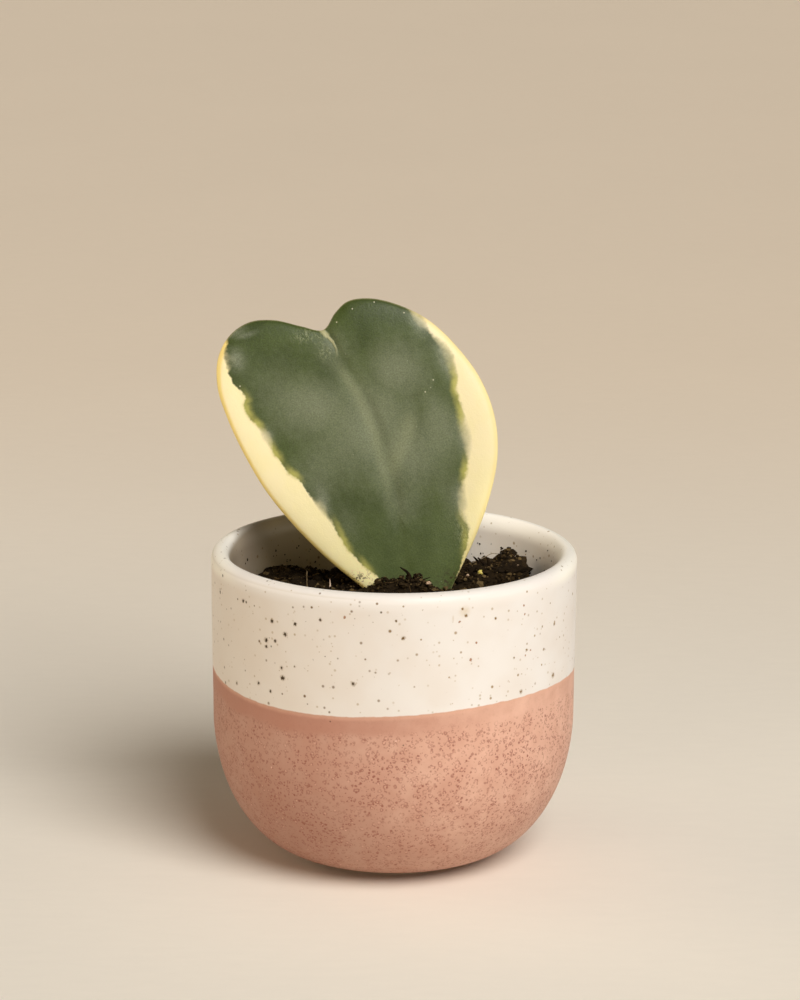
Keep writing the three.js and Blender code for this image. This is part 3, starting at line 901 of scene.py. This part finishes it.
# Soft patches of the blade, each with its centre and its spans across and along
PATCHES = {
    "milky": [
        (-21.6, 81.8, 2.6, 1.1), (-19.4, 80.4, 2.2, 0.6), (-23.1, 75.6, 1.9, 2.6), (23.2, 61.5, 1.9, 5.2),
        (20, 72, 1.8, 3.4), (17.4, 28.6, 1.7, 4), (22.7, 43, 2.2, 4.8), (-13.6, 38, 1.5, 3.4),
        (-21.6, 56.4, 1.5, 2.2),
    ],
    "fresh": [
        (-23.7, 63.9, 2.2, 3.2), (-22.7, 60, 1.8, 1.8), (-20.8, 52, 1.8, 2.6), (-18, 46.4, 2, 2.2),
        (-11.4, 28.5, 1.2, 6), (-8.4, 20, 1.2, 4), (23.8, 55, 2, 4.4), (22.8, 48.6, 2.2, 3),
        (20, 35.4, 1.8, 3), (15, 21, 1.6, 4.4),
    ],
    # Bloom patches: waxy bloom and a painted sheen
    "bloom_and_sheen": [(2, 52, 15, 15), (8, 44, 13, 12), (-8.5, 59, 10, 7.5), (12, 62, 8, 8)],
    "faint_bloom_and_sheen": [
        (-17.5, 68.5, 8, 8), (-1, 72, 5, 4), (18.5, 49, 3, 7), (15.5, 28, 2.6, 6), (-14.5, 43.5, 6.5, 7),
        (-10, 31, 4, 6), (4, 31, 3.5, 4),
    ],
    "flecked": [
        (-6.2, 76.2, 2.6, 1.5), (-3.4, 74.8, 1.3, 1.6), (-2.7, 70.9, 1.7, 1.5), (15.6, 20.5, 1.8, 4.5),
    ],
    "soiled": [(-11.4, 18.4, 3.4, 1.6), (-4.6, 14.4, 4, 2), (-2.6, 11, 3.4, 3), (9.5, 12, 3, 2)],
}


def blade():
    bm = bmesh.new()
    bmesh.ops.create_uvsphere(bm, u_segments=BLADE_COLUMNS, v_segments=BLADE_ROWS, radius=1)
    outline = heart_outline(BLADE_COLUMNS)
    names = (*PATCHES, "green_depth", "painted_flank_highlight", "rim")
    layers = {name: bm.verts.layers.float.new(name) for name in names}
    leaf_place = bm.verts.layers.float_vector.new("leaf_place")
    for vert in bm.verts:
        ball = vert.co.copy()
        reach = min(1, math.hypot(ball.x, ball.y))
        share = math.atan2(ball.y, ball.x) / math.tau % 1
        margin = outline[round(share * BLADE_COLUMNS) % BLADE_COLUMNS]
        x, y = BLADE_MIDDLE.lerp(margin, reach)
        half = BLADE_THICKNESS / 2 * math.sqrt(1 - reach ** MARGIN_SQUARENESS)
        furrows = blade_furrows(x, y) * smooth_step(1 - reach, 0, 0.05)
        if ball.z >= 0:
            height = blade_bend(x, y) + half - furrows
        else:
            height = blade_bend(x, y) - half - 0.5 * furrows
        vert.co = (x, y, height)
        vert[leaf_place] = (x, y, math.copysign(max(half, 0.02), ball.z if abs(ball.z) > 1e-4 else 1))
        for name, places in PATCHES.items():
            vert[layers[name]] = patches(x, y, places)
        vert[layers["green_depth"]] = green_depth(x, y)
        vert[layers["painted_flank_highlight"]] = painted_flank_highlights(x, y)
        vert[layers["rim"]] = smooth_step(reach, 0.95, 1)
    return bm


def bars_along(paths, sides_level):
    """Round bars, each along its own path of points and radii, as one mesh of closed bodies."""
    curve = bpy.data.curves.new("bars", "CURVE")
    curve.dimensions = "3D"
    curve.bevel_depth = 1
    curve.bevel_resolution = sides_level
    curve.use_fill_caps = True
    curve.resolution_u = 3
    for path in paths:
        spline = curve.splines.new("NURBS")
        spline.points.add(len(path) - 1)
        for point, (place, radius) in zip(spline.points, path):
            point.co = (*place, 1)
            point.radius = radius
        spline.order_u = 3
        spline.use_endpoint_u = True
    holder = bpy.data.objects.new("bars", curve)
    mesh = bpy.data.meshes.new_from_object(holder)
    bpy.data.objects.remove(holder)
    bpy.data.curves.remove(curve)
    bm = bmesh.new()
    bm.from_mesh(mesh)
    bpy.data.meshes.remove(mesh)
    bmesh.ops.remove_doubles(bm, verts=bm.verts, dist=1e-5)
    bmesh.ops.recalc_face_normals(bm, faces=bm.faces)
    return bm


def joined(bm, other):
    """Adds another bmesh's bodies to this one."""
    mesh = as_mesh(other, "part")
    bm.from_mesh(mesh)
    bpy.data.meshes.remove(mesh)
    return bm


def leaf():
    """The blade with its stalk and, below the surface, a few roots."""
    levels = ((STALK_END, 0.8), (-2, 1), (STALK_TOP, 1))
    paths = [[((0, level, 0), STALK_RADIUS * share) for level, share in levels]]
    for index in range(ROOT_COUNT):
        start = STALK_END + 1 + ROOT_SPACING * index
        path = []
        for out, down in ROOT_PATH:
            x, z = polar(out * ROOT_SPREAD, index * GOLDEN_ANGLE)
            path.append(((x, start - down * ROOT_DROP, z), ROOT_RADIUS * (1 - 0.5 * out)))
        paths.append(path)
    bm = joined(blade(), bars_along(paths, 3))
    stand = Matrix.Rotation(math.pi / 2 - LEAF_LEAN_BACK, 4, "X") @ Matrix.Rotation(LEAF_LEAN_LEFT, 4, "Z")
    bmesh.ops.transform(bm, matrix=Matrix.Translation(LEAF_FOOT) @ stand, verts=bm.verts)
    return finished(bm, "hoya_leaf", variegated_leaf(), "leaf", "leaf")


def rough_stone(seed, subdivisions, roughness):
    """A body of radius 1 with its faces drawn in and out by noise."""
    bm = bmesh.new()
    bmesh.ops.create_icosphere(bm, subdivisions=subdivisions, radius=1)
    for vert in bm.verts:
        pull = noise.noise(vert.co * 1.3 + Vector((seed * 7.3, seed * 1.7, seed * 4.1)))
        vert.co *= 1 + roughness * pull
    return bm


def peat_bed():
    """The peat that fills the cup, with a lumpy surface."""
    bowl = (BOWL_FLAT_RADIUS, BOWL_TOP)
    across = PEAT_RADIUS - BOWL_FLAT_RADIUS - 0.3
    profile = [(0, INNER_FLOOR + 0.1)]
    profile += arc(bowl, (across, BOWL_TOP - INNER_FLOOR - 0.1), -90, 0, 16)
    profile += rows((PEAT_RADIUS, PEAT_LEVEL), (0, PEAT_LEVEL), PEAT_RINGS)
    profile.append((0, PEAT_LEVEL))
    bm = turned(profile, PEAT_SEGMENTS)
    tone = bm.verts.layers.float.new("tone")
    for vert in bm.verts:
        x, y, z = vert.co
        if z > PEAT_LEVEL - 0.01:
            spot = Vector((x, y, 0))
            lumps = noise.fractal(spot / BED_LUMP_SPAN, 0.8, 2.1, 4) * BED_LUMP_RISE
            clods = noise.voronoi(spot / BED_CLOD_SPAN)[0][0] * BED_CLOD_DEPTH
            vert.co.z = peat_height(x, y) + lumps - clods + BED_LIFT
        vert[tone] = 0.35 + 0.3 * noise.noise(Vector((x, y, z)) / 3)
    return finished(bm, "peat_bed", peat, "peat", "soil")


def crumb_shape(seed, subdivisions, roughness):
    shape = as_mesh(rough_stone(seed, subdivisions, roughness), "crumb")
    shape.attributes.new("tone", "FLOAT", "POINT")
    return shape


def strewn(name, crumbs, seed):
    """Many crumbs as one piece, from their places, radii, flatness and tones."""
    draw = random.Random(seed)
    small_shapes = [crumb_shape(number, 1, 0.9) for number in range(CRUMB_SHAPES)]
    large_shapes = [crumb_shape(number + 20, 2, 0.8) for number in range(CRUMB_SHAPES)]
    bm = bmesh.new()
    for x, y, z, radius, flatness, tone in crumbs:
        shape = draw.choice(large_shapes if radius > LARGE_CRUMB else small_shapes).copy()
        angle = draw.uniform(0, math.tau)
        turn = Matrix.Rotation(angle, 4, Vector((draw.gauss(0, 1), draw.gauss(0, 1), 1)))
        stretch = Matrix.Diagonal((radius, radius * draw.uniform(0.6, 1.1), radius * flatness, 1))
        shape.transform(Matrix.Translation((x, y, z)) @ stretch @ turn)
        shape.attributes["tone"].data.foreach_set("value", [tone] * len(shape.vertices))
        bm.from_mesh(shape)
        bpy.data.meshes.remove(shape)
    for shape in small_shapes + large_shapes:
        bpy.data.meshes.remove(shape)
    return finished(bm, name, peat, "peat", smooth=False)


def anywhere(draw, reach):
    """A place within this reach of the cup's middle, as likely in one spot as in another."""
    return polar(reach * math.sqrt(draw.random()), draw.uniform(0, math.tau))


def on_bed(draw, low, high, count):
    """Crumbs of these radii strewn evenly over the bed and over the lumps on it."""
    for _ in range(count):
        radius = low + (high - low) * draw.random() ** 2
        x, y = anywhere(draw, PEAT_RADIUS - radius)
        over = max(size * size - (x - lx) ** 2 - (y - ly) ** 2 for lx, ly, size in LUMPS)
        lump = LUMP_RISE * math.sqrt(max(0, over))
        z = peat_height(x, y) + lump - draw.uniform(-0.3, 0.5) * radius
        yield x, y, z, radius, draw.uniform(0.5, 1), draw.random()


def peat_crumbs():
    """Loose crumbs of several sizes: on the bed, piled up, and stuck to the wall of the cup."""
    draw = random.Random(41)
    crumbs = [(x, y, peat_height(x, y), radius, 0.5, draw.random() * 0.6) for x, y, radius in LUMPS]
    crumbs += on_bed(draw, *LOOSE_CRUMBS)
    for middle_x, middle_y, height, spread in PEAT_PILES:
        for _ in range(CRUMBS_IN_PILE):
            up = draw.random()
            near = spread * (1.2 - 0.7 * up)
            x, y = middle_x + draw.uniform(-near, near), middle_y + draw.uniform(-near, near)
            radius = draw.uniform(0.25, 0.62) * (1 - 0.35 * up)
            z = peat_height(x, y) + height * up
            crumbs.append((x, y, z, radius, draw.uniform(0.6, 1), draw.random()))
    for bearing, height in STUCK_CRUMBS:
        x, y = polar(CUP_INNER_RADIUS, math.radians(bearing))
        crumbs.append((x, y, height, draw.uniform(0.12, 0.28), draw.uniform(0.8, 1.6), 0.1))
    for _ in range(CRUMBS_ON_WALL):
        x, y = polar(CUP_INNER_RADIUS, draw.uniform(0, math.tau))
        height = min(peat_height(x, y) + draw.expovariate(0.8) + 0.4, 69)
        crumbs.append((x, y, height, draw.uniform(0.06, 0.2), 1, 0.1))
    return strewn("peat_crumbs", crumbs, 5)


def peat_grains():
    """The finest crumbs, which cover the bed and its lumps."""
    return strewn("peat_grains", on_bed(random.Random(43), *FINE_CRUMBS), 6)


def peat_fibres():
    """Fine root hairs and bits of stem that lie in the peat."""
    draw = random.Random(17)
    paths = []
    for _ in range(FIBRE_COUNT):
        start = Vector(anywhere(draw, PEAT_RADIUS - 3))
        heading = draw.uniform(0, math.tau)
        length = draw.uniform(1.5, 6)
        radius = draw.uniform(0.05, 0.12)
        path = []
        for step in range(5):
            x, y = start + Vector(polar(1, heading)) * length * (step / 4 - 0.5)
            x, y = (value * min(1, (PEAT_RADIUS - 0.6) / max(1, math.hypot(x, y))) for value in (x, y))
            heading += draw.uniform(-0.5, 0.5)
            lift = draw.uniform(-0.2, 0.9)
            path.append(((x, y, peat_height(x, y) + lift), radius * (1 - 0.12 * step)))
        paths.append(path)
    return finished(bars_along(paths, 0), "peat_fibres", stem_fibre, "peat")


def peat_twigs():
    """Dark bits of twig and flakes that stick up out of the peat."""
    return finished(bars_along(TWIGS, 1), "peat_twigs", dark_twig, "peat", smooth=False)


def bead():
    """Round bead with a faint dimple."""
    low, high = node_box("fertiliser_bead")
    bm = bmesh.new()
    bmesh.ops.create_icosphere(bm, subdivisions=4, radius=(high.x - low.x) * BEAD_RADIUS)
    for vert in bm.verts:
        side = vert.co.normalized()
        dimple = bell((side - Vector((0.5, -0.6, 0.6))).length, 0.3)
        vert.co *= 1 + 0.12 * noise.noise(side * 2.2) - 0.16 * dimple
    bmesh.ops.translate(bm, vec=(low + high) / 2 + Vector(BEAD_SHIFT), verts=bm.verts)
    return finished(bm, "feed_bead", bead_finish(), "bead", "fertiliser_bead")


def grit():
    """Four rough mineral grains, cut by a few flat facets."""
    finish = grit_finish()
    for number, shift in enumerate(GRIT_SHIFTS, 1):
        node = f"grit_grain_{number}"
        low, high = node_box(node)
        bm = rough_stone(number * 3, 4, 0.35)
        for cut in range(GRIT_FACETS):
            facet = Vector((*polar(1, cut * 2.4), math.cos(cut * 1.7) * 0.8)).normalized()
            for vert in bm.verts:
                proud = max(0, vert.co.dot(facet) - GRIT_FACET_REACH)
                vert.co -= facet * proud * GRIT_FACET_DEPTH
        sides = [[vert.co[axis] for vert in bm.verts] for axis in range(3)]
        scale = [GRIT_SIZE * span / (max(side) - min(side)) for span, side in zip(high - low, sides)]
        bmesh.ops.scale(bm, vec=scale, verts=bm.verts)
        bmesh.ops.translate(bm, vec=(low + high) / 2 + Vector(shift), verts=bm.verts)
        finished(bm, f"grit_{number}", finish, "grit", node)


def splinters():
    """Two slivers of bark that stand in the peat: a long thin one, and a short pointed one."""
    tan = fibre_finish("tan_bark", (104, 86, 60), (158, 136, 102), 0.5)
    pink = fibre_finish("pink_bark", (196, 158, 132), (240, 212, 186), 0.5)
    for name, node, finish, breadth, tip, share in (
        ("splinter_left", "bark_splinter_left", tan, 0.3, 0.7, 0.94),
        ("splinter_middle", "bark_splinter_middle", pink, 0.7, 0.1, 0.86),
    ):
        low, high = node_box(node)
        size = high - low
        bm = bmesh.new()
        bmesh.ops.create_cube(bm, size=1)
        bmesh.ops.subdivide_edges(bm, edges=bm.edges, cuts=7, use_grid_fill=True)
        for vert in bm.verts:
            up = vert.co.z + 0.5
            taper = 1 - (1 - tip) * up
            ragged = noise.noise(Vector((vert.co.x * 5, vert.co.y * 5, 1)))
            vert.co.x *= taper * size.x * breadth
            vert.co.y *= taper * size.y * breadth
            vert.co.z = (up + 0.12 * ragged * smooth_step(up, 0.6, 1)) * size.z * share
            vert.co.x += 0.16 * noise.noise(Vector((0, 1, vert.co.z / 1.4)))
        bmesh.ops.translate(bm, vec=((low.x + high.x) / 2, (low.y + high.y) / 2, low.z), verts=bm.verts)
        finished(bm, name, finish, "bark", node)


def dry_root():
    """A thin pale root that arches over the clod, where the CAD has it."""
    low, high = node_box("root_fibre")
    ends = [(18.4, 13.2), (19.6, 13.7), (20.6, 14), (22, 14.3), (23, 14.4), (24.3, 14), (25.4, 13.6)]
    path = []
    for index, (x, y) in enumerate(ends):
        share = index / (len(ends) - 1)
        arch = peat_height(x, y) - peat_height(*ends[0]) + 1.5 * math.sin(math.pi * share * 0.6)
        path.append(((x, y, min(low.z + 0.3 + arch, high.z - 0.2)), 0.11 * (1 - 0.4 * share)))
    finish = fibre_finish("dry_root", (122, 106, 84), (176, 160, 134), 0.6)
    return finished(bars_along([path], 2), "dry_root", finish, "fibre", "root_fibre")


def ground():
    bm = bmesh.new()
    bmesh.ops.create_grid(bm, x_segments=1, y_segments=1, size=8)
    mesh = as_mesh(bm, "floor")
    mesh.materials.append(floor_finish())
    floor = placed("floor", mesh)


def lamp(name, bearing, elevation, spread, strength, colour):
    """Soft distant light from a bearing and an elevation in degrees, as wide as its spread."""
    light = bpy.data.lights.new(name, "SUN")
    light.energy = strength
    light.angle = math.radians(spread)
    light.color = colour
    placed(name, light).matrix_world = aimed(bearing, elevation)


def inner_light(target, bearing, elevation, spread):
    """A small soft spot that opens up the shade inside the cup at the right."""
    light = bpy.data.lights.new("inner", "SPOT")
    light.energy = INNER_POWER
    light.spot_size = math.radians(spread)
    light.spot_blend = 1
    light.shadow_soft_size = INNER_SOFTNESS
    light.color = INNER_COLOUR
    placed("inner", light).matrix_world = (
        Matrix.Translation(target) @ aimed(bearing, elevation) @ Matrix.Translation((0, 0, INNER_DISTANCE)))


def studio():
    """A large soft light from the upper right, a reflector on the left and a weak warm glow all round."""
    lamp("key", 31, 44, 38, 2.84, WHITE)
    lamp("reflector", -100, 13, 40, 0.87, WARM)
    lamp("front_glow", -34, 10, 40, 0.38, WARM)
    lamp("right_glow", 85, 4, 20, 0.36, WHITE)
    lamp("back_glow", -160, 12, 50, 0.2, WARM)
    lamp("sky", 0, 82, 60, 0.1, WARM)
    inner_light((0.0215, 0.031, 0.0695), 14, 24, 0.84)
    inner_light((0.031, 0.018, 0.0695), 3, 26, 1.2)
    world = bpy.data.worlds.new("surround")
    world.use_nodes = True
    background = world.node_tree.nodes["Background"]
    background.inputs["Color"].default_value = (1, 0.87, 0.72, 1)
    background.inputs["Strength"].default_value = 0.06
    scene.world = world


LUMPS = lump_places()
peat = peat_finish()
stem_fibre = fibre_finish("stem_fibre", (52, 38, 22), (110, 86, 54), 0.7)
dark_twig = fibre_finish("dark_twig", (20, 13, 6), (42, 29, 15), 0.6)

ground()
studio()
cup()
leaf()
peat_bed()
peat_crumbs()
peat_grains()
peat_twigs()
peat_fibres()
bead()
grit()
splinters()
dry_root()
